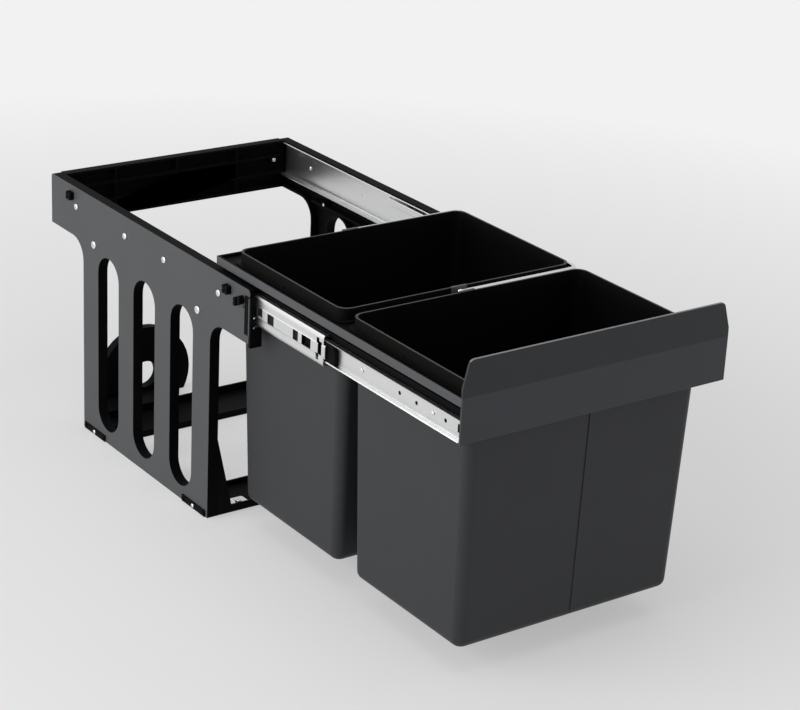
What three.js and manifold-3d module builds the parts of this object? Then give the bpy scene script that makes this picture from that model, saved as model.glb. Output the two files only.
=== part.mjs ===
// Pull-out waste bin unit for a kitchen base cupboard, shown pulled out.
// Two lift-out bins hang in a carriage on ball slides, between two moulded side plates that
// are screwed to the cupboard's floor. Millimetres, +Z up, +Y into the cupboard. The origin is
// under the middle of the front foot beam, on the cupboard's floor.
import * as THREE from 'three';
import Module from 'manifold-3d';
import { mergeVertices } from 'three/addons/utils/BufferGeometryUtils.js';

const wasm = await Module();
wasm.setup();

// ---------------------------------------------------------------- driving dimensions
const clearance = 0.3; // between pieces that touch
const holeClearance = 0.25; // round a screw's shank or a wire's end

// frame: side plates, foot beams and rear beam
const frameWidth = 342;
const frameHeight = 308;
const bandLength = 464; // a plate's top band, front to back
const bandHeight = 63;
const bodyLength = 300; // a plate below its band
const insideRadius = 26; // where the band meets the body
const cornerRadius = 4; // a plate's outer corners
const plateWall = 3;
const plateTop = 1.5; // the flange over the slide
const plateDepth = 12.7; // a plate's wall and flanges together
const slotWidth = 51;
const slotPitch = 87;
const slotCount = 3;
const slotBottom = 17;
const footDepth = 60;
const rearFootDepth = 66.5; // the rear beam reaches further forward
const rearRimHeight = 13.5; // its rim at the back
const footHeight = 9;
const footWall = 3;
const footNotch = 2; // a crossing in a beam below its rims
const footCrossing = 22; // length of the crossing that takes a clip's screw
const gussetHeight = 96;
const gussetReach = 20; // the gusset's foot, inwards from the plate
const rearBeamDepth = 12;
const rearBeamWall = 3;
const rearBeamRib = 2.5;
const rearBeamRibPitch = 88;
const rearBeamScrewInset = 14; // from the beam's end
const clipLength = 52;
const clipHeight = 8;
const clipProud = 1.5; // stands out of the plate's face
const clipPegRadius = 2.6;
const clipPegProud = 1.2; // stands out of the clip's face
const bracketWidth = 22;
const bracketDepth = 20;
const bracketWall = 1.5;
const bracketInset = 26; // from the beam's end to the bracket
const ringOuter = 64.5;
const ringHole = 17.7;
const ringDepth = 12.5;
const ringCentreX = -58;
const ringCentreZ = 30.3;
const ringRearGap = 23.5; // from the ring to the back of the rear beam
const tongueHeight = 6;
const tongueFront = [-133, -35]; // the tongue's two sides where it meets the rear foot beam
const tongueReach = 58; // half its width where it meets the ring
const ledgeFractions = [0.3, 0.66]; // heights of the rear beam's two inner ledges in the band

// ball slides, one on each side
const slideLength = 450;
const slideDepth = 12.5;
const slideHeight = 45;
const steelWall = 1.2;
const railMouth = 2.3; // from the inner rail's web to the other rails' free edges
const railRadius = 2.4; // bend between a rail's web and its flanges
const railRoom = 0.3; // between the fixed rail and the plate's top flange
const middleLength = 350;
const middleHeight = 35;
const middleSetback = 45.5; // its front end behind the plates' front when closed
const middleInset = 2.1; // between the fixed rail's web and the middle rail's
const innerHeight = 25;
const innerSetback = 13.6; // its front end behind the front panel
const innerFlange = 6.5;
const cageLength = 130;
const cageWall = 0.5;
const cageStrip = 1.2;
const cageWebGap = 0.45; // from the cage's web to the rail's web
const cageEdgeGap = 1; // from the outer cage's edge to the rails' free edges
const ballInset = 2.2; // from a cage's edge to its balls' middles
const ballRadius = 1.5;
const ballPitch = 32;
const ballCount = 4;
const travel = 366; // how far the carriage rolls
const windowHeight = 11.2;
const windows = [[27, 17.5], [51.5, 10], [99.5, 12.5]]; // [behind the middle rail's front end, length]
const noseLength = 3.5; // of the middle part of that end, ahead of its corners
const noseHeight = 15;
const innerHoleRadius = 2.2;
const leverLength = 26;
const leverSlope = 5; // length of the lever's slanted nose
const leverNose = 0.4; // height of the nose, as a share of half the lever
const leverRoom = 0.6; // round the lever inside the inner rail
const leverLap = 8; // of the lever's rear end behind the middle rail's front end
const blockWall = 4; // thickness of the block on a plate's front end
const blockBottom = 3; // below the band
const blockTop = 8; // below the plate's top
const blockRoom = 2; // round the rails that pass the block
const blockSkin = 1; // thickness of its side on the plate's outer face
const blockReach = 9; // how far that side reaches back over the plate
const blockTab = 10; // that side's lower edge above the band's

// carriage and front panel
const carriageWall = 3;
const carriageSkirtBottom = 6.7; // the side wall's edge below the slide's middle
const carriageRimDrop = 12; // of the front and rear walls below the ledge
const frontWallBottom = 3.7; // the front wall's edge below the slide's middle
const crossRibDrop = 6; // of the rib between the bins below the ledge
const ribSetback = 6; // the side rib's front end behind the carriage's
const lipAbovePlate = 3.4; // gap between the plate's top and the carriage's lip
const lipHeight = 9.6;
const lipInset = 7; // from the plate's outer face to the lip
const ledgeRise = 3.3; // the ledge's underside above the lip's lower edge
const ledgeWall = 3;
const ribProud = 1.5;
const ribDrop = 12; // the side rib's middle below the ledge
const closedGap = 14.6; // plates' front to the panel's back, when closed
const rearGap = 4; // carriage's back to the rear beam, when closed
const frontBar = 8.8;
const rearBar = 23.1;
const rimGap = 14.7; // between the two bins' rims
const panelHeight = 87.5;
const panelWall = 3;
const panelSkin = 1; // left in front of a screw's hole
const panelTrim = 0.3; // the panel is narrower than the frame on each side
const panelRadius = 20;
const panelBelowSlide = 7.2;
const panelScrewInset = 40;
const panelScrewDrop = 20; // below the ledge

// bins
const binFloorGap = 23.5; // under the bins, down to the foot beams
const binSideGap = 3.2;
const binWall = 2.2;
const binDraft = 1.45; // degrees
const binCornerRadius = 18;
const binBottomRadius = 10;
const flangeReach = 4.2;
const flangeWall = 2;
const skirtHeight = 13;
const skirtStep = 1.6;
const openingGap = 1.8; // round a bin's body in the carriage
const rimEase = 0.75; // the rim's edges are broken by this much
const grooveX = 3;
const grooveWidth = 3;
const grooveDepth = 1;
const tabWidth = 20;
const tabX = -3; // the tabs' middle
const tabProud = 1.8;
const tabTop = 1;
const tabDrop = 10;

// bail handle of the rear bin
const wireRadius = 2.75;
const wireDrop = 4.5; // its middle below the rim
const armGap = 5.4; // from the rim to the middle of the arm
const wireEndGap = 0.1; // from the rim's face to the wire's end, in its hole
const pivotDepth = 0.4; // of that hole in the rim
const gripGap = 4.7;
const wireBend = 8;
const pivotX = -4;

// fasteners
const screwHead = 4;
const screwHeadHeight = 1.6;
const screwShank = 1.8;
const largeHead = 4.8;
const smallHead = 2.6;
const smallHeadHeight = 1.2;
const smallShank = 1.3;
const railScrewSpread = [-167, -46, 46, 167];
const plateScrewSpread = [-122.4, 122.4];
const plateScrewRise = 3.7; // above the band's lower edge
const bossRadius = 5.2;
const plugRadius = 4;
const plugProud = 3;
// plugs in a plate's face: [behind the band's front, below its top]
const plugPlaces = [[411, 13], [44.3, 12.3], [23.4, 19.2], [14.8, 15.1]];
const rivetSpread = [172, 48]; // from the inner rail's front end
const rivetDepth = 2; // into the carriage's wall
const innerHoleSpread = [105, 76, 27];

// ---------------------------------------------------------------- places worked out from them
const plateOuter = frameWidth / 2;
const plateInner = plateOuter - plateDepth;
const webInner = plateOuter - plateWall;
const bodyFront = -footDepth / 2;
const bodyRear = bodyFront + bodyLength;
const rearClipY = bodyRear - footDepth / 2;
const plateMiddle = (bodyFront + bodyRear) / 2;
const bandFront = plateMiddle - bandLength / 2;
const bandRear = plateMiddle + bandLength / 2;
const bandBottom = frameHeight - bandHeight;
const slotTop = bandBottom - plateWall;
const beamEnd = plateInner - clearance;
const rearBeamFront = bandRear - rearBeamDepth;

const slideZ = frameHeight - plateTop - railRoom - slideHeight / 2;
const fixedBack = webInner - clearance;
const middleBack = fixedBack - steelWall - middleInset;
const innerBack = fixedBack - slideDepth;
const railOpen = innerBack + railMouth; // free edges of the fixed and middle rails
const fixedFront = plateMiddle - slideLength / 2;
const middleFront = bandFront + middleSetback - travel / 2;
const panelBack = bandFront - closedGap - travel;
const innerFront = panelBack + innerSetback;

const carriageFront = panelBack + clearance;
const carriageRear = rearBeamFront - rearGap - travel;
const wallOuter = innerBack - clearance;
const wallInner = wallOuter - carriageWall;
const lipOuter = plateOuter - lipInset;
const lipBottom = frameHeight + lipAbovePlate;
const ledgeBottom = lipBottom + ledgeRise;
const ledgeTop = ledgeBottom + ledgeWall;
const lipTop = lipBottom + lipHeight;

const binRimLength = (carriageRear - carriageFront - frontBar - rearBar - rimGap) / 2;
const rimHalfX = wallInner - binSideGap + skirtStep;
const rimHalfY = binRimLength / 2;
const binBottom = footHeight + binFloorGap;
const flangeBottom = ledgeTop + clearance;
const skirtBottom = flangeBottom + flangeWall;
const rimTop = skirtBottom + skirtHeight;
const frontBinY = carriageFront + frontBar + rimHalfY;
const rearBinY = carriageRear - rearBar - rimHalfY;
const sides = { left: -1, right: 1 };

// ---------------------------------------------------------------- materials
const colours = {
  plate: { color: 0x4d4f51, roughness: 0.6, metalness: 0 },
  black: { color: 0x141416, roughness: 0.55, metalness: 0 },
  bin: { color: 0x3a3b3d, roughness: 0.6, metalness: 0 },
  panel: { color: 0x34363a, roughness: 0.45, metalness: 0.1 },
  zinc: { color: 0xd5d7d8, roughness: 0.3, metalness: 1 },
  wire: { color: 0xb9bcbf, roughness: 0.3, metalness: 1 },
};
const group = new THREE.Group();

// ---------------------------------------------------------------- shape helpers
// Makes a solid from a closed geometry, with its shared corners joined.
function solid(geometry) {
  geometry.deleteAttribute('normal');
  geometry.deleteAttribute('uv');
  const merged = mergeVertices(geometry);
  const corners = merged.index.array;
  const faces = [];
  for (let i = 0; i < corners.length; i += 3) {
    const [a, b, c] = corners.slice(i, i + 3);
    if (a !== b && b !== c && c !== a) faces.push(a, b, c);
  }
  return new wasm.Manifold(new wasm.Mesh({
    numProp: 3,
    vertProperties: new Float32Array(merged.attributes.position.array),
    triVerts: new Uint32Array(faces),
  }));
}

// Adds a solid to the unit as a named mesh.
function addPiece(name, shape, finish) {
  const { vertProperties, triVerts } = shape.getMesh();
  const geometry = new THREE.BufferGeometry();
  geometry.setAttribute('position', new THREE.BufferAttribute(vertProperties, 3));
  geometry.setIndex(new THREE.BufferAttribute(triVerts, 1));
  geometry.computeVertexNormals();
  const mesh = new THREE.Mesh(geometry, new THREE.MeshStandardMaterial(colours[finish]));
  mesh.name = name;
  group.add(mesh);
}

function join(...shapes) {
  return shapes.reduce((whole, shape) => whole.add(shape));
}

function block([x0, x1], [y0, y1], [z0, z1]) {
  const box = new THREE.BoxGeometry(Math.abs(x1 - x0), Math.abs(y1 - y0), Math.abs(z1 - z0));
  return solid(box.translate((x0 + x1) / 2, (y0 + y1) / 2, (z0 + z1) / 2));
}

// Extrudes an outline drawn in Y and Z from x0 to x1.
function extrudeX(outline, x0, x1, curveSegments = 3) {
  const depth = Math.abs(x1 - x0);
  const body = new THREE.ExtrudeGeometry(outline, { depth, bevelEnabled: false, curveSegments });
  const turn = new THREE.Matrix4().makeBasis(
    new THREE.Vector3(0, 1, 0), new THREE.Vector3(0, 0, 1), new THREE.Vector3(1, 0, 0));
  return solid(body.applyMatrix4(turn).translate(Math.min(x0, x1), 0, 0));
}

// Extrudes an outline drawn in X and Z from y0 to y1.
function extrudeY(outline, y0, y1, curveSegments = 2) {
  const depth = y1 - y0;
  const body = new THREE.ExtrudeGeometry(outline, { depth, bevelEnabled: false, curveSegments });
  const turn = new THREE.Matrix4().makeBasis(
    new THREE.Vector3(1, 0, 0), new THREE.Vector3(0, 0, 1), new THREE.Vector3(0, -1, 0));
  return solid(body.applyMatrix4(turn).translate(0, y1, 0));
}

// Extrudes an outline drawn in X and Y from z0 to z1.
function extrudeZ(outline, z0, z1, curveSegments = 3) {
  const depth = z1 - z0;
  const body = new THREE.ExtrudeGeometry(outline, { depth, bevelEnabled: false, curveSegments });
  return solid(body.translate(0, 0, z0));
}

// A round bar from one point to another along X, Y or Z.
function bar(from, to, radius, segments = 16) {
  const start = new THREE.Vector3(...from);
  const end = new THREE.Vector3(...to);
  const along = end.clone().sub(start);
  const rod = new THREE.CylinderGeometry(radius, radius, along.length(), segments);
  const turn = new THREE.Quaternion().setFromUnitVectors(
    new THREE.Vector3(0, 1, 0), along.clone().normalize());
  rod.applyQuaternion(turn);
  const middle = start.add(end).multiplyScalar(0.5);
  return solid(rod.translate(middle.x, middle.y, middle.z));
}

function roundedRectangle(x0, x1, y0, y1, radius) {
  const shape = new THREE.Shape();
  shape.moveTo(x0 + radius, y0);
  shape.absarc(x1 - radius, y0 + radius, radius, -Math.PI / 2, 0);
  shape.absarc(x1 - radius, y1 - radius, radius, 0, Math.PI / 2);
  shape.absarc(x0 + radius, y1 - radius, radius, Math.PI / 2, Math.PI);
  shape.absarc(x0 + radius, y0 + radius, radius, Math.PI, Math.PI * 1.5);
  return shape;
}

function polygon(points) {
  return new THREE.Shape(points.map(([x, y]) => new THREE.Vector2(x, y)));
}

// Closed surface through rings of points, each ring with as many points, capped at both ends.
function loft(rings) {
  const count = rings[0].length;
  const middles = [rings[0], rings[rings.length - 1]].map((ring) => ring
    .reduce((sum, point) => sum.add(point), new THREE.Vector3()).divideScalar(count));
  const points = [...rings.flat(), ...middles];
  const first = rings.length * count;
  const faces = [];
  for (let i = 0; i < count; i += 1) {
    const next = (i + 1) % count;
    faces.push(first, next, i);
    const top = (rings.length - 1) * count;
    faces.push(first + 1, top + i, top + next);
    for (let ring = 0; ring < rings.length - 1; ring += 1) {
      const low = ring * count;
      const high = low + count;
      faces.push(low + i, low + next, high + next, low + i, high + next, high + i);
    }
  }
  const geometry = new THREE.BufferGeometry().setFromPoints(points);
  geometry.setIndex(faces);
  return solid(geometry);
}

const screws = {
  plain: { head: screwHead, height: screwHeadHeight, shank: screwShank },
  large: { head: largeHead, height: screwHeadHeight, shank: screwShank },
  small: { head: smallHead, height: smallHeadHeight, shank: smallShank },
};

// Screw or rivet: a low domed head outside a face, and a shank going in.
function screw(name, at, direction, length, { head, height, shank }) {
  const profile = [
    [0, -length], [shank, -length], [shank, 0], [head, 0],
    [head, height * 0.5], [head * 0.6, height], [0, height],
  ].map(([x, y]) => new THREE.Vector2(x, y));
  const turned = new THREE.LatheGeometry(profile, 10);
  const turn = new THREE.Quaternion().setFromUnitVectors(
    new THREE.Vector3(0, 1, 0), new THREE.Vector3(...direction));
  addPiece(name, solid(turned.applyQuaternion(turn).translate(...at)), 'zinc');
}

// ---------------------------------------------------------------- side plates
// Outline of a plate in Y and Z, drawn in from its edge by an inset.
function plateOutline(inset) {
  const low = bandBottom + inset;
  const radius = insideRadius + inset;
  const corner = Math.max(cornerRadius - inset, 0.5);
  const front = bandFront + inset;
  const rear = bandRear - inset;
  const top = frameHeight - inset;
  const shape = new THREE.Shape();
  shape.moveTo(front, low);
  shape.lineTo(bodyFront - insideRadius, low);
  shape.absarc(bodyFront - insideRadius, bandBottom - insideRadius, radius, Math.PI / 2, 0, true);
  shape.lineTo(bodyFront + inset, inset);
  shape.lineTo(bodyRear - inset, inset);
  shape.absarc(bodyRear + insideRadius, bandBottom - insideRadius, radius, Math.PI, Math.PI / 2, true);
  shape.lineTo(rear, low);
  shape.absarc(rear - corner, top - corner, corner, 0, Math.PI / 2);
  shape.absarc(front + corner, top - corner, corner, Math.PI / 2, Math.PI);
  return shape;
}

// Round-ended slots, drawn out from their edge by a margin.
function slots(margin, x0, x1) {
  const half = slotWidth / 2 + margin;
  return Array.from({ length: slotCount }, (_, i) => {
    const middle = plateMiddle + (i - (slotCount - 1) / 2) * slotPitch;
    return extrudeX(roundedRectangle(
      middle - half, middle + half, slotBottom - margin, slotTop + margin, half - 0.01), x0, x1, 4);
  });
}

function screwPlaces() {
  return {
    rail: railScrewSpread.map((y) => [plateMiddle + y, slideZ]),
    plate: plateScrewSpread.map((y) => [plateMiddle + y, bandBottom + plateScrewRise]),
  };
}

function sidePlate(name, side) {
  const outer = side * plateOuter;
  const inner = side * plateInner;
  const web = side * webInner;
  let plate = extrudeX(plateOutline(0), inner, outer)
    .subtract(extrudeX(plateOutline(plateWall), inner - side, web))
    .subtract(block([inner - side, web], [bandFront + plateWall, bandRear - plateWall],
      [frameHeight - plateWall - 1, frameHeight - plateTop]));
  plate = join(plate, ...slots(plateWall, inner, web));
  plate = plate.add(block([inner, web], [bodyFront, bodyRear], [bandBottom, bandBottom + plateWall]));
  for (const hole of slots(0, inner - side, outer + side)) plate = plate.subtract(hole);
  const { rail, plate: own } = screwPlaces();
  for (const [y, z] of own) plate = plate.add(bar([inner, y, z], [web, y, z], bossRadius));
  for (const [behind, below] of plugPlaces) {
    const y = bandFront + behind;
    const z = frameHeight - below;
    plate = plate.add(bar([web, y, z], [outer + side * plugProud, y, z], plugRadius, 12));
  }
  for (const [y, z] of [...rail, ...own]) {
    plate = plate.subtract(bar([inner - side, y, z], [outer + side, y, z], screwShank + holeClearance, 12));
  }
  const mouth = slideHeight / 2 + railRoom;
  plate = plate.subtract(block(
    [inner - side, web], [bandFront - 1, bandFront + plateWall + 1], [slideZ - mouth, slideZ + mouth]));
  for (const y of [0, rearClipY]) {
    const half = clipLength / 2 + clearance;
    plate = plate.subtract(block(
      [inner - side, outer + side], [y - half, y + half], [-1, clipHeight + clearance]));
  }
  addPiece(`side_plate_${name}`, plate, 'plate');
  const face = outer + side * clearance;
  rail.forEach(([y, z], i) => screw(`rail_screw_${name}_${i + 1}`, [face, y, z], [side, 0, 0],
    plateWall + steelWall + clearance, screws.plain));
  own.forEach(([y, z], i) => screw(`plate_screw_${name}_${i + 1}`, [face, y, z], [side, 0, 0],
    plateDepth, screws.large));
}

// ---------------------------------------------------------------- foot beams
// Shallow trough between the plates, with its rims up and a crossing at each end for a clip's screw.
function footBeam(front, rear, crossingY) {
  let beam = block([-beamEnd, beamEnd], [front, rear], [0, footHeight])
    .subtract(block([-beamEnd + footWall, beamEnd - footWall], [front + footWall, rear - footWall],
      [footWall, footHeight + 1]));
  for (const side of Object.values(sides)) {
    const end = side * beamEnd;
    const middle = clipHeight / 2;
    beam = beam
      .add(block([end - side * footCrossing, end], [crossingY - footWall, crossingY + footWall],
        [0, footHeight - footNotch]))
      .subtract(bar([end - side * footCrossing / 2, crossingY, middle], [end + side, crossingY, middle],
        smallShank + holeClearance, 12));
  }
  return beam;
}

// Upright triangle at a foot beam's end, against the side plate.
function gusset(side, front) {
  const end = side * beamEnd;
  const foot = end - side * gussetReach;
  const corners = [[end, 0], [end, gussetHeight], [foot, footHeight], [foot, 0]];
  return extrudeY(polygon(side > 0 ? corners : corners.reverse()), front, front + footWall);
}

// The block that closes a plate's foot round the beam's end, with its screw through into the beam.
function floorClip(name, side, y) {
  const face = side * (plateOuter + clipProud);
  const inner = side * plateInner;
  const middle = clipHeight / 2;
  let clip = block([inner, face], [y - clipLength / 2, y + clipLength / 2], [0, clipHeight]);
  for (const end of [-1, 1]) {
    const pegY = y + end * (clipLength / 2 - clipPegRadius * 1.5);
    clip = clip.add(bar([inner, pegY, middle], [face + side * clipPegProud, pegY, middle],
      clipPegRadius, 12));
  }
  clip = clip.subtract(bar([inner - side, y, middle], [face + side, y, middle],
    smallShank + holeClearance, 12));
  addPiece(`floor_clip_${name}`, clip, 'black');
  screw(`clip_screw_${name}`, [face + side * clearance, y, middle], [side, 0, 0],
    plateDepth + clipProud + footWall, screws.small);
}

// Steel plate on the front beam, with the screw that goes down into the cupboard's floor; gives the
// beam back with the screw's hole in it.
function floorBracket(name, side, beam) {
  const outer = side * (beamEnd - bracketInset);
  const inner = outer - side * bracketWidth;
  const front = bodyFront + footWall + clearance;
  const rear = front + bracketDepth;
  const bottom = footWall + clearance;
  const top = bottom + bracketWall;
  const x = (outer + inner) / 2;
  const y = (front + rear) / 2;
  const hole = screwShank + holeClearance;
  addPiece(`floor_bracket_${name}`, block([inner, outer], [front, rear], [bottom, top])
    .subtract(bar([x, y, 0], [x, y, top + 1], hole, 12)), 'zinc');
  screw(`floor_screw_${name}`, [x, y, top + clearance], [0, 0, 1], top, screws.plain);
  return beam.subtract(bar([x, y, -1], [x, y, footHeight], hole, 12));
}

function feet() {
  let frontBeam = footBeam(bodyFront, bodyFront + footDepth, 0);
  for (const [name, side] of Object.entries(sides)) {
    frontBeam = floorBracket(name, side, frontBeam.add(gusset(side, bodyFront)));
    floorClip(`front_${name}`, side, 0);
    floorClip(`rear_${name}`, side, rearClipY);
  }
  addPiece('front_foot_beam', frontBeam, 'black');
  const rearBeam = footBeam(bodyRear - rearFootDepth, bodyRear, rearClipY)
    .add(block([-beamEnd, beamEnd], [bodyRear - footWall, bodyRear], [0, rearRimHeight]));
  addPiece('rear_foot_beam', rearBeam, 'black');
}

// Thick ring behind the rear foot beam, cut flat on the floor, on a flat tongue that widens towards it.
function rearRing() {
  const rear = bandRear - ringRearGap;
  const front = rear - ringDepth;
  const disc = new THREE.Shape();
  disc.absarc(ringCentreX, ringCentreZ, ringOuter, 0, Math.PI * 2);
  const hole = new THREE.Path();
  hole.absarc(ringCentreX, ringCentreZ, ringHole, 0, Math.PI * 2, true);
  disc.holes.push(hole);
  const half = ringOuter + 1;
  const [left, right] = tongueFront;
  const tongue = polygon([[left, bodyRear + clearance], [right, bodyRear + clearance],
    [ringCentreX + tongueReach, rear], [ringCentreX - tongueReach, rear]]);
  const ring = extrudeY(disc, front, rear, 18)
    .subtract(block([ringCentreX - half, ringCentreX + half], [front - 1, rear + 1], [-half, 0]))
    .add(extrudeZ(tongue, 0, tongueHeight));
  addPiece('rear_ring', ring, 'black');
}

// Beam that ties the plates' bands together at the back: a wall with flanges and ribs, cut out at
// each end for the fixed rail.
function rearTopBeam() {
  const wallFront = bandRear - rearBeamWall;
  const railHalf = slideHeight / 2 + clearance;
  const railRear = fixedFront + slideLength + clearance;
  let beam = block([-beamEnd, beamEnd], [wallFront, bandRear], [bandBottom, frameHeight]);
  const ledges = [bandBottom, ...ledgeFractions.map((share) => bandBottom + bandHeight * share),
    frameHeight - rearBeamWall];
  for (const z of ledges) {
    beam = beam.add(block([-beamEnd, beamEnd], [rearBeamFront, bandRear], [z, z + rearBeamWall]));
  }
  for (const x of [-rearBeamRibPitch, 0, rearBeamRibPitch]) {
    beam = beam.add(block([x - rearBeamRib / 2, x + rearBeamRib / 2], [rearBeamFront, bandRear],
      [bandBottom, frameHeight]));
  }
  for (const [name, side] of Object.entries(sides)) {
    const x = side * (beamEnd - rearBeamScrewInset);
    beam = beam.subtract(block([side * (railOpen - clearance), side * (beamEnd + 1)],
      [rearBeamFront - 1, railRear], [slideZ - railHalf, slideZ + railHalf]));
    beam = beam.add(bar([x, rearBeamFront, slideZ], [x, bandRear, slideZ], bossRadius, 12))
      .subtract(bar([x, rearBeamFront - 1, slideZ], [x, wallFront, slideZ],
        smallShank + holeClearance, 12));
    screw(`rear_beam_screw_${name}`, [x, rearBeamFront - clearance, slideZ], [0, -1, 0],
      rearBeamDepth - rearBeamWall, screws.small);
  }
  addPiece('rear_top_beam', beam, 'black');
}

// ---------------------------------------------------------------- ball slides
// A rail with a flat web and two flanges, its bends rounded, drawn in X and Z.
function rail(back, open, height, y0, y1) {
  const towards = Math.sign(open - back);
  const half = height / 2;
  const draw = (inset) => {
    const radius = railRadius - inset;
    const b = back + towards * inset;
    const o = open + towards * (inset ? 1 : 0);
    const shape = new THREE.Shape();
    shape.moveTo(o, slideZ - half + inset);
    shape.lineTo(o, slideZ + half - inset);
    shape.absarc(b + towards * radius, slideZ + half - inset - radius, radius,
      Math.PI / 2, towards > 0 ? Math.PI : 0, towards < 0);
    shape.absarc(b + towards * radius, slideZ - half + inset + radius, radius,
      towards > 0 ? Math.PI : 0, -Math.PI / 2, towards < 0);
    return shape;
  };
  return extrudeY(draw(0), y0, y1).subtract(extrudeY(draw(steelWall), y0 - 1, y1 + 1));
}

// Ball cage: a thin channel with a row of balls in each of its two strips.
function cage(name, side, web, stripZ, open, y0) {
  const x0 = side * web;
  const x1 = side * open;
  const y1 = y0 + cageLength;
  const ballX = side * (open + ballInset);
  const top = stripZ + cageStrip / 2;
  let shape = block([x0, x0 - side * cageWall], [y0, y1], [slideZ - top, slideZ + top]);
  for (const up of [-1, 1]) {
    const z = slideZ + up * stripZ;
    shape = shape.add(block([x0, x1], [y0, y1], [z - cageStrip / 2, z + cageStrip / 2]));
    for (let i = 0; i < ballCount; i += 1) {
      const y = (y0 + y1) / 2 + (i - (ballCount - 1) / 2) * ballPitch;
      shape = shape.add(solid(new THREE.SphereGeometry(ballRadius, 6, 4).translate(ballX, y, z)));
    }
  }
  addPiece(name, shape, 'zinc');
}

function slide(name, side) {
  let fixed = rail(side * fixedBack, side * railOpen, slideHeight, fixedFront, fixedFront + slideLength);
  for (const [y, z] of screwPlaces().rail) {
    fixed = fixed.subtract(bar([side * (fixedBack - steelWall - 1), y, z], [side * (fixedBack + 1), y, z],
      screwShank + holeClearance, 12));
  }
  addPiece(`fixed_rail_${name}`, fixed, 'zinc');
  middleRail(name, side);
  innerRail(name, side);

  const openOverlap = [Math.max(fixedFront, middleFront), middleFront + middleLength];
  const outerCage = (openOverlap[0] + openOverlap[1] - cageLength) / 2;
  const innerOverlap = [middleFront, innerFront + slideLength];
  const innerCage = (innerOverlap[0] + innerOverlap[1] - cageLength) / 2;
  const fixedWeb = fixedBack - steelWall;
  const middleWeb = middleBack - steelWall;
  const outerGap = (slideHeight / 2 - steelWall + middleHeight / 2) / 2;
  const innerGap = (middleHeight / 2 - steelWall + innerHeight / 2) / 2;
  cage(`outer_ball_cage_${name}`, side, fixedWeb - cageWebGap, outerGap, railOpen + cageEdgeGap, outerCage);
  cage(`inner_ball_cage_${name}`, side, middleWeb - cageWebGap, innerGap, railOpen, innerCage);
  releaseLever(name, side);
}

// The middle rail with its windows, its front end cut back above and below its nose.
function middleRail(name, side) {
  const back = side * middleBack;
  const through = [back + side, back - side * (steelWall + 1)];
  let shape = rail(back, side * railOpen, middleHeight, middleFront, middleFront + middleLength);
  for (const [behind, length] of windows) {
    const y = middleFront + behind;
    shape = shape.subtract(block(through, [y, y + length],
      [slideZ - windowHeight / 2, slideZ + windowHeight / 2]));
  }
  for (const up of [-1, 1]) {
    shape = shape.subtract(block([back + side, side * (railOpen - 1)],
      [middleFront - 1, middleFront + noseLength], [slideZ + up * noseHeight / 2, slideZ + up * middleHeight]));
  }
  addPiece(`middle_rail_${name}`, shape, 'zinc');
}

// The inner rail, turned with its web to the carriage and held there by two rivets.
function innerRail(name, side) {
  const back = side * innerBack;
  const web = back + side * steelWall;
  let shape = rail(back, back + side * innerFlange, innerHeight, innerFront, innerFront + slideLength);
  const hole = (y, radius) => bar([back - side, y, slideZ], [web + side, y, slideZ], radius, 12);
  for (const y of innerHoleSpread) shape = shape.subtract(hole(innerFront + y, innerHoleRadius));
  rivetPlaces().forEach((y, i) => {
    shape = shape.subtract(hole(y, smallShank + holeClearance));
    screw(`rail_rivet_${name}_${i + 1}`, [web + side * clearance, y, slideZ], [side, 0, 0],
      steelWall + clearance * 2 + rivetDepth, screws.small);
  });
  addPiece(`inner_rail_${name}`, shape, 'zinc');
}

function rivetPlaces() {
  return rivetSpread.map((y) => innerFront + y);
}

// Plastic lever inside the inner rail, under the middle rail's front end, that lets the slide part.
function releaseLever(name, side) {
  const rear = middleFront + leverLap;
  const front = rear - leverLength;
  const base = side * (innerBack + steelWall + clearance);
  const face = side * (innerBack + innerFlange - leverRoom);
  const half = innerHeight / 2 - steelWall - leverRoom;
  const outline = polygon([[front, slideZ - half], [rear, slideZ - half], [rear, slideZ + half],
    [front + leverSlope, slideZ + half], [front, slideZ + half * leverNose]]);
  addPiece(`release_lever_${name}`, extrudeX(outline, base, face), 'black');
}

// Black block on a plate's front end: it closes the band round the rails' mouth.
function endBlock(name, side) {
  const rear = bandFront - clearance;
  const front = rear - blockWall;
  const room = middleHeight / 2 + blockRoom;
  const face = side * (plateOuter + clearance);
  const outer = face + side * blockSkin;
  const inner = side * (plateInner - blockSkin);
  const top = frameHeight - blockTop;
  const shape = block([inner, outer], [front, rear], [bandBottom - blockBottom, top])
    .subtract(block([inner - side, side * (fixedBack - steelWall)], [front - 1, rear + 1],
      [slideZ - room, frameHeight]))
    .add(block([face, outer], [front, bandFront + blockReach], [bandBottom + blockTab, top]));
  addPiece(`end_block_${name}`, shape, 'black');
}

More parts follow.
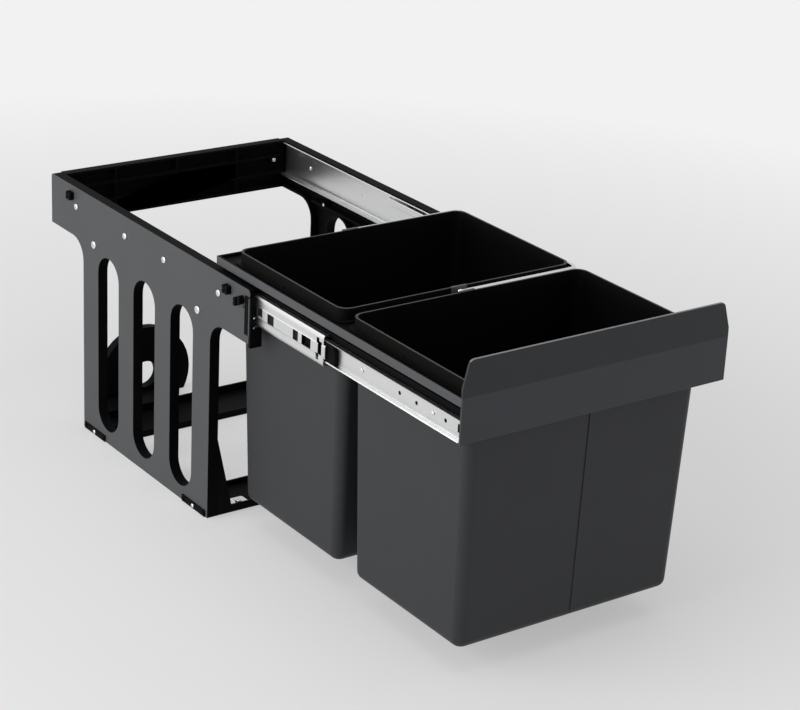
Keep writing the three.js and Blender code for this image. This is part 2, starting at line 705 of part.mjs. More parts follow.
// ---------------------------------------------------------------- carriage
// The carriage: a frame with an opening for each bin, walls that hang beside the bins and a lip.
function carriage() {
  const y0 = carriageFront;
  const y1 = carriageRear;
  let frame = block([-lipOuter, lipOuter], [y0, y1], [ledgeBottom, ledgeTop]);
  const ring = (outX, inX, margin, low, high) => block([-outX, outX], [y0, y1], [low, high])
    .subtract(block([-inX, inX], [y0 + margin, y1 - margin], [low - 1, high + 1]));
  frame = frame.add(ring(lipOuter, lipOuter - carriageWall, carriageWall, lipBottom, lipTop));
  frame = frame.add(ring(wallOuter, wallInner, carriageWall, ledgeBottom - carriageRimDrop, ledgeTop));
  for (const side of Object.values(sides)) {
    const outer = side * wallOuter;
    const inner = side * wallInner;
    const ribZ = ledgeBottom - ribDrop;
    frame = frame.add(block([inner, outer], [y0, y1], [slideZ - carriageSkirtBottom, ledgeTop]));
    frame = frame.add(block([inner, outer + side * ribProud], [y0 + ribSetback, y1],
      [ribZ - ribProud, ribZ + ribProud]));
    for (const y of rivetPlaces()) {
      frame = frame.subtract(bar([outer - side * (rivetDepth + clearance), y, slideZ],
        [outer + side, y, slideZ], smallShank + holeClearance, 12));
    }
  }
  frame = frame.add(block([-wallOuter, wallOuter], [y0, y0 + carriageWall],
    [slideZ - frontWallBottom, ledgeTop]));
  const bodyX = rimHalfX - skirtStep + openingGap;
  const bodyY = rimHalfY - skirtStep + openingGap;
  for (const y of [frontBinY, rearBinY]) {
    const radius = binCornerRadius - skirtStep + openingGap;
    frame = frame.subtract(extrudeZ(roundedRectangle(-bodyX, bodyX, y - bodyY, y + bodyY, radius),
      ledgeBottom - 1, ledgeTop + 1));
  }
  const middle = (frontBinY + rearBinY) / 2;
  const half = carriageWall / 2;
  frame = frame.add(block([-wallInner, wallInner], [middle - half, middle + half],
    [ledgeBottom - crossRibDrop, ledgeTop]));
  for (const x of panelScrewPlaces()) {
    frame = frame.subtract(bar([x, y0 - 1, panelScrewZ()], [x, y0 + carriageWall + 1, panelScrewZ()],
      screwShank + holeClearance, 12));
  }
  addPiece('carriage_frame', frame, 'black');
}

function panelScrewPlaces() {
  return [-1, 1].map((side) => side * (wallInner - panelScrewInset));
}

function panelScrewZ() {
  return ledgeBottom - panelScrewDrop;
}

// Thin front board with rounded upper corners, screwed on from behind through the carriage.
function frontPanel() {
  const half = plateOuter - panelTrim;
  const bottom = slideZ - panelBelowSlide;
  const top = bottom + panelHeight;
  const outline = new THREE.Shape();
  outline.moveTo(-half, bottom);
  outline.lineTo(half, bottom);
  outline.absarc(half - panelRadius, top - panelRadius, panelRadius, 0, Math.PI / 2);
  outline.absarc(panelRadius - half, top - panelRadius, panelRadius, Math.PI / 2, Math.PI);
  let panel = extrudeY(outline, panelBack - panelWall, panelBack, 4);
  panelScrewPlaces().forEach((x, i) => {
    const z = panelScrewZ();
    const depth = panelWall - panelSkin;
    panel = panel.subtract(bar([x, panelBack - depth, z], [x, panelBack + 1, z],
      screwShank + holeClearance, 12));
    screw(`panel_screw_${i + 1}`, [x, carriageFront + carriageWall + clearance, z], [0, 1, 0],
      carriageWall + clearance + depth, screws.plain);
  });
  addPiece('front_panel', panel, 'panel');
}

// ---------------------------------------------------------------- bins
// One ring of a bin: a rounded rectangle drawn in from the rim's outer edge.
function binRing(centreY, inset, z) {
  const steps = 5;
  const x = rimHalfX - inset;
  const y = rimHalfY - inset;
  const radius = Math.max(binCornerRadius - inset, 1.5);
  const corners = [[1, 1], [-1, 1], [-1, -1], [1, -1]];
  return corners.flatMap(([sx, sy], corner) => Array.from({ length: steps + 1 }, (_, i) => {
    const angle = (corner + i / steps) * Math.PI / 2;
    return new THREE.Vector3(sx * (x - radius) + radius * Math.cos(angle),
      centreY + sy * (y - radius) + radius * Math.sin(angle), z);
  }));
}

// How far a bin's outer wall has drawn in at a height, by its draft.
function wallInset(z) {
  return skirtStep + (flangeBottom - z) * Math.tan(THREE.MathUtils.degToRad(binDraft));
}

function bin(name, centreY, pivots) {
  const steps = 4;
  const rings = [];
  const bottom = (floor, wall, radius, up) => {
    const turn = Array.from({ length: steps + 1 }, (_, i) => {
      const angle = (i / steps) * Math.PI / 2;
      const z = floor + radius * (1 - Math.cos(angle));
      return binRing(centreY, wallInset(z) + wall + radius * (1 - Math.sin(angle)), z);
    });
    return up ? turn : turn.reverse();
  };
  rings.push(...bottom(binBottom, 0, binBottomRadius, true));
  rings.push(binRing(centreY, wallInset(flangeBottom), flangeBottom));
  rings.push(binRing(centreY, -flangeReach, flangeBottom));
  rings.push(binRing(centreY, -flangeReach, skirtBottom));
  rings.push(binRing(centreY, 0, skirtBottom));
  rings.push(binRing(centreY, 0, rimTop - rimEase));
  rings.push(binRing(centreY, rimEase, rimTop));
  rings.push(binRing(centreY, binWall - rimEase, rimTop));
  rings.push(binRing(centreY, binWall, rimTop - rimEase));
  rings.push(binRing(centreY, wallInset(skirtBottom) + binWall, skirtBottom - flangeWall));
  rings.push(...bottom(binBottom + binWall, binWall, binBottomRadius - binWall, false));
  let shape = loft(rings);

  const faceAt = (z) => centreY - rimHalfY + wallInset(z);
  const low = binBottom - 1;
  const high = flangeBottom - flangeWall;
  const clear = faceAt(high) - flangeReach;
  const groove = polygon([[clear, low], [faceAt(low) + grooveDepth, low],
    [faceAt(high) + grooveDepth, high], [clear, high]]);
  shape = shape.subtract(extrudeX(groove, grooveX - grooveWidth / 2, grooveX + grooveWidth / 2));
  for (const end of [-1, 1]) {
    const rim = centreY + end * rimHalfY;
    shape = shape.add(block([tabX - tabWidth / 2, tabX + tabWidth / 2],
      [rim + end * tabProud, rim - end * binWall * 0.8], [rimTop - tabDrop, rimTop + tabTop]));
    if (pivots) {
      const z = rimTop - wireDrop;
      shape = shape.subtract(bar([pivotX, rim - end * pivotDepth, z], [pivotX, rim + end * armGap, z],
        wireRadius + holeClearance, 16));
    }
  }
  addPiece(name, shape, 'bin');
}

// Wire bail, lying folded over to the right: an arm along each end rim and a grip along the side.
function binHandle() {
  const z = rimTop - wireDrop;
  const front = rearBinY - rimHalfY;
  const rear = rearBinY + rimHalfY;
  const gripX = rimHalfX + gripGap;
  const corners = [[pivotX, front - armGap], [gripX, front - armGap], [gripX, rear + armGap],
    [pivotX, rear + armGap]];
  const path = [[pivotX, front + wireEndGap]];
  corners.forEach(([x, y], i) => {
    const [px, py] = i ? corners[i - 1] : path[0];
    const [nx, ny] = i < 3 ? corners[i + 1] : [pivotX, rear - wireEndGap];
    const radius = i === 0 || i === 3 ? wireRadius * 1.2 : wireBend;
    const from = [Math.sign(px - x) * radius, Math.sign(py - y) * radius];
    const to = [Math.sign(nx - x) * radius, Math.sign(ny - y) * radius];
    for (let step = 0; step <= 4; step += 1) {
      const angle = (step / 4) * Math.PI / 2;
      const a = 1 - Math.sin(angle);
      const b = 1 - Math.cos(angle);
      path.push([x + from[0] * a + to[0] * b, y + from[1] * a + to[1] * b]);
    }
  });
  path.push([pivotX, rear - wireEndGap]);
  const sidesRound = 10;
  const rings = path.map(([x, y], i) => {
    const [ax, ay] = path[Math.max(i - 1, 0)];
    const [bx, by] = path[Math.min(i + 1, path.length - 1)];
    const tangent = new THREE.Vector3(bx - ax, by - ay, 0).normalize();
    const across = new THREE.Vector3(-tangent.y, tangent.x, 0);
    return Array.from({ length: sidesRound }, (_, j) => {
      const angle = (j / sidesRound) * Math.PI * 2;
      return new THREE.Vector3(x, y, z).addScaledVector(across, wireRadius * Math.cos(angle))
        .add(new THREE.Vector3(0, 0, wireRadius * Math.sin(angle)));
    });
  });
  addPiece('bin_handle', loft(rings), 'wire');
}

// ---------------------------------------------------------------- the unit
for (const [name, side] of Object.entries(sides)) {
  sidePlate(name, side);
  slide(name, side);
  endBlock(name, side);
}
feet();
rearTopBeam();
rearRing();
carriage();
frontPanel();
bin('rear_bin', rearBinY, true);
bin('front_bin', frontBinY, false);
binHandle();

export default group;
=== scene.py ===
"""Pull-out waste bin unit for a kitchen base cupboard: the looks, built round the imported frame.

Two moulded side plates stand on the floor, with ball slides in their top bands. A carriage on the
slides carries two lift-out bins and a low front panel. Everything is in metres, +Z up, +Y into the
cupboard.
"""
import math
from contextlib import contextmanager

import bmesh
import bpy
from mathutils import Matrix, Vector


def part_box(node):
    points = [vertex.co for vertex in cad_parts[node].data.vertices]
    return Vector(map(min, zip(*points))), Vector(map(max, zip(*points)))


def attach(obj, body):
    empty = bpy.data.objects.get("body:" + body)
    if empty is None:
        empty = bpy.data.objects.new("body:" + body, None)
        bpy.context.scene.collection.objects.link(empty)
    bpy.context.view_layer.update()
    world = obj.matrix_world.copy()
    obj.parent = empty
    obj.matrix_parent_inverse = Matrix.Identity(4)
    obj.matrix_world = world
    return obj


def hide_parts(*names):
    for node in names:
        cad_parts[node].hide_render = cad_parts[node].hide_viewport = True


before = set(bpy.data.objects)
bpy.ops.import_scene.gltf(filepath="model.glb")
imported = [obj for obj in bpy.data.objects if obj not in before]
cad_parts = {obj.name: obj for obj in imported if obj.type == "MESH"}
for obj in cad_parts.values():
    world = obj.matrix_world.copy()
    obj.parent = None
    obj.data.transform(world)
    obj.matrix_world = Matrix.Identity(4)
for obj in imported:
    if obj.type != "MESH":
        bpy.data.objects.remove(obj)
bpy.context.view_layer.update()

MM = 0.001
SIDES = {"left": -1, "right": 1}
TINY = 0.02 * MM

# ---------------------------------------------------------------- sizes, in millimetres
EDGE_ROUND = 0.45  # on moulded edges
CLIP_PROUD = 2.7  # how far a floor clip stands out of its plate's face
LIP_HEIGHT = 12  # of the carriage's lip, whose outer face is grained and painted grey as a painted sheen

PLUGS = {  # [behind the band's front, below its top]: the pegs' places round it, in Y and Z
    (44.3, 12.3): [(-2.9, -2.5), (-2.9, 2.5), (2.9, -2.5), (2.9, 2.5)],
    (23.4, 19.2): [(0, -2.3), (0, 2.3)],
    (14.8, 15.1): [(0, -2.3), (0, 2.3)],
    (411, 13): [(-2.9, -2.5), (-2.9, 2.5), (2.9, -2.5), (2.9, 2.5)],
}
PEG = (2.8, 6)  # radius, how far a peg stands out of a plate's face
DOT = (12.5, 23, 1.3)  # a small mould mark: behind the band's front, below its top, radius
BLOCK_TAB = 45  # height of the tab on an end block
PAINTED_HIGHLIGHT_STRIP = (2.5, 4.7)  # a pale strip in front of the tab, a painted highlight on the plate's edge: its edges, behind the block's front
BLOCK_RIVETS = (4.4, 23, 34.5)  # in from the block's face, and how far each is below its top
LEVER_TRIM = 4  # how far a release lever's nose is drawn back

BIN_WALL = 2.2
BIN_DRAFT = 1.45  # degrees
BIN_CORNER = 12
BIN_BOTTOM_ROUND = 10
FLANGE_REACH = 4.2
FLANGE_WALL = 2
SKIRT_STEP = 1.6
SKIRT_HEIGHT = 13
RIM_OVERHANG = 2  # of a bin's skirt and rim past its body, at the sides
GROOVE = (3, 1)  # width and depth of the groove down a bin's front
GROOVE_X = 3
TAB = (20, 1.8, 10)  # width, how far it stands out, height
TAB_X = -3
BUMP = (11, 4, 1.2)  # a stop on the skirt: behind the bin's middle, half its length, how far out

WIRE = 2.75  # radius
WIRE_BENDS = (3.4, 8)  # radius at the pivots, and at the grip's ends
WIRE_TIP = 3.1  # from a pivot bend's end into the bin
BEND_PARTS = 8  # straight pieces in each bend

STEEL_WALL = 1.2
BAND_HALF = 6.0  # half the flat band along a rail's middle
BAND_RISE = 0.6  # how far it stands out of the web
RAIL_BEND = 0.35  # radius of the rails' folds
# Windows in a middle rail: behind its front end, length, lower and upper edge from its middle.
WINDOWS = [(27, 17.5, -5.6, 5.6), (51.5, 10, -5.6, 5.6), (99.5, 12.5, -5.6, 5.6), (122.6, 9.3, -3, 6.5)]
# The latch slot is cut as three windows that meet.
LATCH_SLOT = [(11.5, 5, 6.5, 12.4), (6.5, 7, -5.5, 9), (12.5, 5.2, -12.4, -5)]
NOSE = (3.5, 7.5)  # a middle rail's front end: how far its nose stands out, half the nose's height
INNER_NOTCH = (7, 4.5)  # in an inner rail's front end: depth, half its height
INNER_HOLES = (105, 76, 27)  # behind its front end

PANEL_CORNER = (8, 29)  # cut off each upper corner: across and down
PANEL_TOP_ROUND = 5
PANEL_LEAN = 2.0  # degrees, of the panel's part above its bend
PANEL_BEND = 0.56  # the bend's height, as a share of the panel's

HEAD_SIDES = 28  # flats round a screw head
SCREWS = {
    # pattern: (head radius, head height, shank radius, crossed)
    "large": (4, 1.6, 1.8, True),
    "wide": (4.8, 1.6, 1.8, True),
    "small": (2.6, 1.2, 1.3, True),
    "rivet": (2.6, 1.2, 1.3, False),
    "block_rivet": (1.1, 0.4, 0.8, False),
    "tip": (2.7, 1.5, 1.5, False),
}

# ---------------------------------------------------------------- camera and light
CAMERA_PLACE = (-1.4133, -2.0911, 1.1891)
CAMERA_PAN, CAMERA_TILT, CAMERA_ROLL = -36.16, 67.89, 2.88  # degrees
CAMERA_LENS = 104
WORLD_LIGHT = 0.30
BACKGROUND = "F2F2F2"
FLOOR = "F6F6F6"
FLOOR_NEAR, FLOOR_FAR = 0.5, 1.7  # metres from the origin: the floor goes over to the background
FLOOR_GLOW = 0.45  # how far it has gone over close by, where it holds the shadow
LAMPS = [
    # name, place, size, watts
    ("left", (-2.3, 0.3, 0.75), 2.2, 44),
    ("front", (0.7, -2.8, 0.9), 2.0, 6.5),
    ("above", (-0.2, -0.2, 2.8), 2.4, 14),
]
AIM = (0, -0.1, 0.15)


# ---------------------------------------------------------------- working by hand
def only(piece):
    """Makes a piece the one that is selected and active."""
    bpy.ops.object.select_all(action="DESELECT")
    piece.select_set(True)
    bpy.context.view_layer.objects.active = piece


def only_nothing():
    """Leaves nothing selected."""
    bpy.ops.object.select_all(action="DESELECT")


@contextmanager
def editing(piece):
    """Edit mode on one piece, and back to object mode after."""
    only(piece)
    bpy.ops.object.mode_set(mode="EDIT")
    yield
    bpy.ops.object.mode_set(mode="OBJECT")


def pick(kind, test):
    """Selects the VERT, EDGE or FACE elements that pass a test, and nothing else."""
    bpy.ops.mesh.select_mode(type=kind)
    bpy.ops.mesh.select_all(action="DESELECT")
    data = bpy.context.edit_object.data
    mesh = bmesh.from_edit_mesh(data)
    for element in {"VERT": mesh.verts, "EDGE": mesh.edges, "FACE": mesh.faces}[kind]:
        if test(element):
            element.select_set(True)
    mesh.select_flush_mode()
    bmesh.update_edit_mesh(data)


def middle(element):
    """The mean place of an edge's or a face's corners."""
    corners = [vertex.co for vertex in element.verts]
    return sum(corners, Vector()) / len(corners)


def added(name):
    """Names the primitive just added and puts its place into its mesh."""
    piece = bpy.context.object
    piece.name = piece.data.name = name
    bpy.ops.object.transform_apply(location=True, rotation=True, scale=True)
    return piece


def cuboid(name, low, high):
    """A box from one corner to the other, in millimetres."""
    low, high = Vector(low) * MM, Vector(high) * MM
    only_nothing()
    bpy.ops.mesh.primitive_cube_add(size=1, location=(low + high) / 2, scale=high - low)
    return added(name)


def rod(name, start, end, radius, sides=24):
    """A round bar from one point to another, in millimetres."""
    start, end = Vector(start) * MM, Vector(end) * MM
    along = end - start
    only_nothing()
    bpy.ops.mesh.primitive_cylinder_add(
        vertices=sides, radius=radius * MM, depth=along.length, location=(start + end) / 2,
        rotation=along.to_track_quat("Z", "Y").to_euler())
    return added(name)


def modify(piece, kind, **settings):
    """Adds a modifier and applies it at once."""
    only(piece)
    modifier = piece.modifiers.new("step", kind)
    for key, value in settings.items():
        setattr(modifier, key, value)
    bpy.ops.object.modifier_apply(modifier=modifier.name)


def round_edges(piece, width, segments=2, angle=30):
    """Rounds the edges that fold by more than an angle. The width is in millimetres."""
    modify(piece, "BEVEL", width=width * MM, segments=segments, limit_method="ANGLE",
           angle_limit=math.radians(angle), miter_outer="MITER_ARC")


def smooth(piece, angle=35):
    """Smooth shading, with flat faces kept flat and sharp edges kept sharp."""
    only(piece)
    bpy.ops.object.shade_smooth_by_angle(angle=math.radians(angle))
    modify(piece, "WEIGHTED_NORMAL", keep_sharp=True)


def shape_with(piece, tools, operation):
    """Cuts tools out of a piece, or joins them to it, and removes them."""
    for tool in tools:
        modify(piece, "BOOLEAN", object=tool, operation=operation, solver="EXACT", use_self=True)
        bpy.data.objects.remove(tool)


def joined(name, pieces):
    """Makes several pieces one."""
    only_nothing()
    for piece in pieces:
        piece.select_set(True)
    bpy.context.view_layer.objects.active = pieces[0]
    bpy.ops.object.join()
    pieces[0].name = pieces[0].data.name = name
    return pieces[0]


def merged_copy(name, node):
    """A copy of a node's mesh with its corners joined and its flat faces made whole."""
    piece = bpy.data.objects.new(name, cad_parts[node].data.copy())
    bpy.context.scene.collection.objects.link(piece)
    piece.data.materials.clear()
    with editing(piece):
        bpy.ops.mesh.select_all(action="SELECT")
        bpy.ops.mesh.remove_doubles(threshold=0.002 * MM)
        bpy.ops.mesh.dissolve_limited(angle_limit=math.radians(1))
    return piece


def dress(piece, finish, rule=None):
    """Gives a piece its materials. With several, the rule picks one for each face."""
    finishes = finish if isinstance(finish, list) else [finish]
    piece.data.materials.clear()
    for material in finishes:
        piece.data.materials.append(material)
    if rule:
        for face in piece.data.polygons:
            face.material_index = rule(face)


def settle(piece, body, slot, *nodes):
    """Rides a piece on its body, for the nodes that it stands for."""
    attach(piece, body)
    if nodes:
        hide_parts(*nodes)


def node_box(node):
    """A node's corners in millimetres."""
    low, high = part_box(node)
    return low / MM, high / MM


def far_face(node, side):
    """X of a node's face on the outside of the unit."""
    low, high = node_box(node)
    return side * max(abs(low.x), abs(high.x))


def near_face(node, side):
    """X of a node's face towards the unit's middle."""
    low, high = node_box(node)
    return side * min(abs(low.x), abs(high.x))


def plate_face_x(name, side):
    """X of a side plate's outer face."""
    return far_face(f"floor_clip_front_{name}", side) - side * CLIP_PROUD


# ---------------------------------------------------------------- materials
def linear(hex_colour):
    """An sRGB hex colour as linear red, green, blue and alpha."""
    channels = [int(hex_colour[i:i + 2], 16) / 255 for i in (0, 2, 4)]
    return [c / 12.92 if c <= 0.04045 else ((c + 0.055) / 1.055) ** 2.4 for c in channels] + [1]


def add_node(tree, kind, settings=None, **links):
    """Adds a node. Settings are properties or inputs, and links are inputs fed by a socket."""
    node = tree.nodes.new(kind)
    for key, value in (settings or {}).items():
        if key in node.inputs:
            node.inputs[key].default_value = value
        else:
            setattr(node, key, value)
    for key, socket in links.items():
        tree.links.new(socket, node.inputs[key.replace("_", " ")])
    return node


def new_finish(name, roughness, metallic=0.0, specular=0.5):
    """A new material, its node tree, its shader and its place on the piece."""
    material = bpy.data.materials.new(name)
    material.use_nodes = True
    tree = material.node_tree
    shader = tree.nodes["Principled BSDF"]
    shader.inputs["Roughness"].default_value = roughness
    shader.inputs["Metallic"].default_value = metallic
    shader.inputs["Specular IOR Level"].default_value = specular
    place = add_node(tree, "ShaderNodeTexCoord").outputs["Object"]
    return material, tree, shader, place


def blend_colours(tree, shader, factor, dark, light):
    """Base colour between two colours that are close together."""
    mix = add_node(tree, "ShaderNodeMix", {"data_type": "RGBA"})
    mix.inputs[6].default_value = linear(dark)
    mix.inputs[7].default_value = linear(light)
    tree.links.new(factor, mix.inputs[0])
    tree.links.new(mix.outputs[2], shader.inputs["Base Color"])


def matt_finish(name, dark, light, roughness, grain, depth, specular=0.5):
    """A matt surface, with a fine grain and faint cloudy shading.

    The grain is drawn at about a millimetre, coarser than the real one, so that it shows.
    """
    material, tree, shader, place = new_finish(name, roughness, specular=specular)
    clouds = add_node(tree, "ShaderNodeTexNoise", {"Scale": 1 / (60 * MM), "Detail": 2.0}, Vector=place)
    fine = add_node(tree, "ShaderNodeTexNoise", {"Scale": 1 / (grain * MM), "Detail": 3.0}, Vector=place)
    blend_colours(tree, shader, clouds.outputs["Fac"], dark, light)
    spread = add_node(tree, "ShaderNodeMapRange", {
        "From Min": 0.3, "From Max": 0.7, "To Min": roughness - 0.06, "To Max": roughness + 0.06,
    }, Value=fine.outputs["Fac"])
    tree.links.new(spread.outputs["Result"], shader.inputs["Roughness"])
    bump = add_node(tree, "ShaderNodeBump", {"Strength": 1.0, "Distance": depth * MM},
                    Height=fine.outputs["Fac"])
    tree.links.new(bump.outputs["Normal"], shader.inputs["Normal"])
    return material


def plated_steel(name, dark, light, roughness, streak):
    """Plated steel: bright, with fine streaks along the way it was rolled or drawn."""
    material, tree, shader, place = new_finish(name, roughness, metallic=1.0)
    stretched = add_node(tree, "ShaderNodeMapping", {"Scale": (1, 0.02, 1)}, Vector=place)
    streaks = add_node(tree, "ShaderNodeTexNoise", {"Scale": 1 / (streak * MM), "Detail": 3.0},
                       Vector=stretched.outputs["Vector"])
    clouds = add_node(tree, "ShaderNodeTexNoise", {"Scale": 1 / (25 * MM), "Detail": 2.0}, Vector=place)
    blend_colours(tree, shader, clouds.outputs["Fac"], dark, light)
    spread = add_node(tree, "ShaderNodeMapRange", {
        "From Min": 0.3, "From Max": 0.7, "To Min": roughness - 0.015, "To Max": roughness + 0.02,
    }, Value=streaks.outputs["Fac"])
    tree.links.new(spread.outputs["Result"], shader.inputs["Roughness"])
    bump = add_node(tree, "ShaderNodeBump", {"Strength": 1.0, "Distance": 0.001 * MM},
                    Height=streaks.outputs["Fac"])
    tree.links.new(bump.outputs["Normal"], shader.inputs["Normal"])
    return material


# Moulded polypropylene, black. The faces that are seen from outside are grained and painted grey, a
# painted sheen of the light from the left. The other walls are smooth and keep the plastic's black.
plate_face_painted_sheen = matt_finish("plate_polypropylene_painted_sheen", "48494B", "4C4E50", 0.55, 0.9, 0.03, 0.3)
plate_wall = matt_finish("plate_polypropylene_drawn", "0B0B0D", "0E0E10", 0.6, 1.4, 0.01, 0.03)
# The carriage lip's outer faces: painted grey as a painted sheen of the light from the left.
carriage_lip_painted_sheen = matt_finish("carriage_polypropylene_painted_sheen", "4A4B4D", "505153", 0.5, 0.9, 0.02, 0.3)
bin_outside = matt_finish("bin_polypropylene_satin", "353638", "393A3C", 0.5, 0.8, 0.02, 0.2)
# The bins' insides: the same plastic, painted near black as painted shade.
bin_inside_painted_shade = matt_finish("bin_polypropylene_painted_shade", "040405", "060607", 0.6, 1.2, 0.01, 0.05)
bin_skirt = matt_finish("bin_polypropylene_skirt", "0E0D0C", "121110", 0.6, 0.9, 0.02, 0.05)
# The bins' rim tabs: the same plastic, painted paler as a painted highlight.
bin_tab_painted_highlight = matt_finish("bin_polypropylene_painted_highlight", "5A5C5E", "606264", 0.5, 0.9, 0.02, 0.2)

# Moulded nylon with glass fibre: black and dull, with hardly a highlight.
black_moulding = matt_finish("glass_filled_nylon", "0B0B0C", "0E0E0F", 0.6, 1.1, 0.02, 0.04)

# The panel is polypropylene too, polished to a satin. Its part above the bend is painted darker as
# painted shade, and its top edge paler as a painted highlight.
panel_lower = matt_finish("panel_polypropylene_satin", "393B3F", "3D3F43", 0.42, 0.9, 0.01, 0.25)
panel_upper_painted_shade = matt_finish("panel_polypropylene_painted_shade", "292B2F", "2D2F33", 0.42, 0.9, 0.01, 0.25)
panel_edge_painted_highlight = matt_finish("panel_polypropylene_painted_highlight", "7E8083", "86888B", 0.4, 0.9, 0.01, 0.4)

# Steel. The ball cages are painted nearly black, as painted shade seen through the middle rails'
# windows. Zinc plating is bright and a little rough, and nickel plating is smoother, with sharper
# highlights.
cage_painted_shade = matt_finish("ball_cage_painted_shade", "14110F", "1A1613", 0.5, 0.7, 0.01, 0.1)
rail_steel = plated_steel("zinc_plated_strip", "DADCDC", "E2E2E1", 0.32, 1.6)
screw_steel = plated_steel("zinc_plated_screw", "EDEDED", "F2F2F2", 0.25, 0.8)
wire_steel = plated_steel("nickel_plated_wire", "C9CBCC", "D6D8D9", 0.2, 1.2)


# ---------------------------------------------------------------- mouldings kept from the frame
def moulding(node, body, slot, finish, rounding=EDGE_ROUND, rule=None, segments=2):
    """A moulded node with its edges rounded."""
    piece = merged_copy(f"{node}_moulding", node)
    round_edges(piece, rounding, segments)
    smooth(piece)
    dress(piece, finish, rule)
    settle(piece, body, slot, node)
    return piece


def side_plates():
    """The plates: grained and painted grey as a painted sheen on their outer faces, smooth and black on
    all their other walls.
    """
    for name, side in SIDES.items():
        face_x = plate_face_x(name, side)

        def rule(face, side=side, face_x=face_x):
            # outer faces get the grey painted sheen; all other walls keep the plastic's black
            outwards = face.normal.x * side > 0.5
            return 0 if outwards and abs(face.center.x / MM - face_x) < 1.0 else 1

        moulding(f"side_plate_{name}", "frame", "plate_plastic", [plate_face_painted_sheen, plate_wall], rule=rule)


def black_mouldings():
    """The beams, the ring, the end blocks, the levers and the floor clips."""
    moulding("front_foot_beam", "frame", "black_plastic", black_moulding)
    moulding("rear_foot_beam", "frame", "black_plastic", black_moulding)
    moulding("rear_top_beam", "frame", "black_plastic", black_moulding)
    moulding("rear_ring", "frame", "black_plastic", black_moulding, 1.4, segments=3)
    for name in SIDES:
        moulding(f"end_block_{name}", "frame", "black_plastic", black_moulding)
        release_lever(name)
        for place in ("front", "rear"):
            moulding(f"floor_clip_{place}_{name}", "frame", "black_plastic", black_moulding, 0.5)


def release_lever(name):
    """The lever, its nose drawn back and its tail drawn out under the middle rail to the cage."""
    low, high = node_box(f"release_lever_{name}")
    lever = moulding(f"release_lever_{name}", "carriage", "black_plastic", black_moulding)
    cage_front = node_box(f"inner_ball_cage_{name}")[0].y
    with editing(lever):
        pick("VERT", lambda vertex: vertex.co.y / MM > high.y - 2)
        bpy.ops.transform.translate(value=(0, (cage_front - 2 - high.y) * MM, 0))
        pick("VERT", lambda vertex: vertex.co.y / MM < low.y + 8)
        bpy.ops.transform.translate(value=(0, LEVER_TRIM * MM, 0))


def end_block_trim():
    """A pale strip in front of each block's tab, a painted highlight on the plate's edge, and the
    block's two rivets.
    """
    for name, side in SIDES.items():
        low, high = node_box(f"end_block_{name}")
        face = far_face(f"end_block_{name}", side)
        front, rear = PAINTED_HIGHLIGHT_STRIP
        # a pale strip that is a painted highlight on the plate's edge
        edge = cuboid(f"plate_edge_painted_highlight_{name}", (face - 0.6 * side, low.y + front, high.z - BLOCK_TAB),
                      (face + 0.3 * side, low.y + rear, high.z - 1))
        round_edges(edge, 0.25)
        smooth(edge)
        dress(edge, plate_face_painted_sheen)
        settle(edge, "frame", "plate_plastic")
        inset, *heights = BLOCK_RIVETS
        rivets = [turned_head("block_rivet", 2) for _ in heights]
        for rivet, below in zip(rivets, heights):
            put_head(rivet, (side * (abs(face) - inset), low.y, high.z - below), (0, -1, 0))
            dress(rivet, wire_steel)
        settle(joined(f"block_rivets_{name}", rivets), "frame", "screw_steel")


def plate_pegs():
    """Round pegs in clusters, moulded on the plugs in each plate's face."""
    radius, proud = PEG
    for name, side in SIDES.items():
        low, high = node_box(f"side_plate_{name}")
        face = plate_face_x(name, side)
        pegs = []
        for (behind, below), places in PLUGS.items():
            for y, z in places:
                spot = (low.y + behind + y, high.z - below + z)
                peg = rod("peg", (face - side * 0.5, *spot), (face + side * proud, *spot), radius, 16)
                round_edges(peg, 0.5)
                pegs.append(peg)
        behind, below, dot_radius = DOT
        dot = (low.y + behind, high.z - below)
        pegs.append(rod("dot", (face - side, *dot), (face + side * 0.15, *dot), dot_radius, 16))
        cluster = joined(f"plate_pegs_{name}", pegs)
        smooth(cluster)
        dress(cluster, black_moulding)
        settle(cluster, "frame", "black_plastic")


def carriage():
    """The carriage, its lip's outer faces grained and painted grey as a painted sheen."""
    high = node_box("carriage_frame")[1]

    def rule(face):
        # the lip's outer faces get the grey painted sheen; the rest stays black
        at_lip = high.x - abs(face.center.x / MM) < 1.0 and face.center.z / MM > high.z - LIP_HEIGHT
        return 0 if at_lip and abs(face.normal.x) > 0.3 else 1

    moulding("carriage_frame", "carriage", "black_plastic", [carriage_lip_painted_sheen, black_moulding], 0.4, rule)


# ---------------------------------------------------------------- bins
def step(centre, half, out, up):
    """Extrudes the picked face, widens it by so much on each side and lifts it; gives its new size."""
    bpy.ops.mesh.extrude_region_move()
    bpy.ops.transform.resize(value=((half.x + out.x) / half.x, (half.y + out.y) / half.y, 1),
                             center_override=centre * MM)
    bpy.ops.transform.translate(value=(0, 0, up * MM))
    return half + out


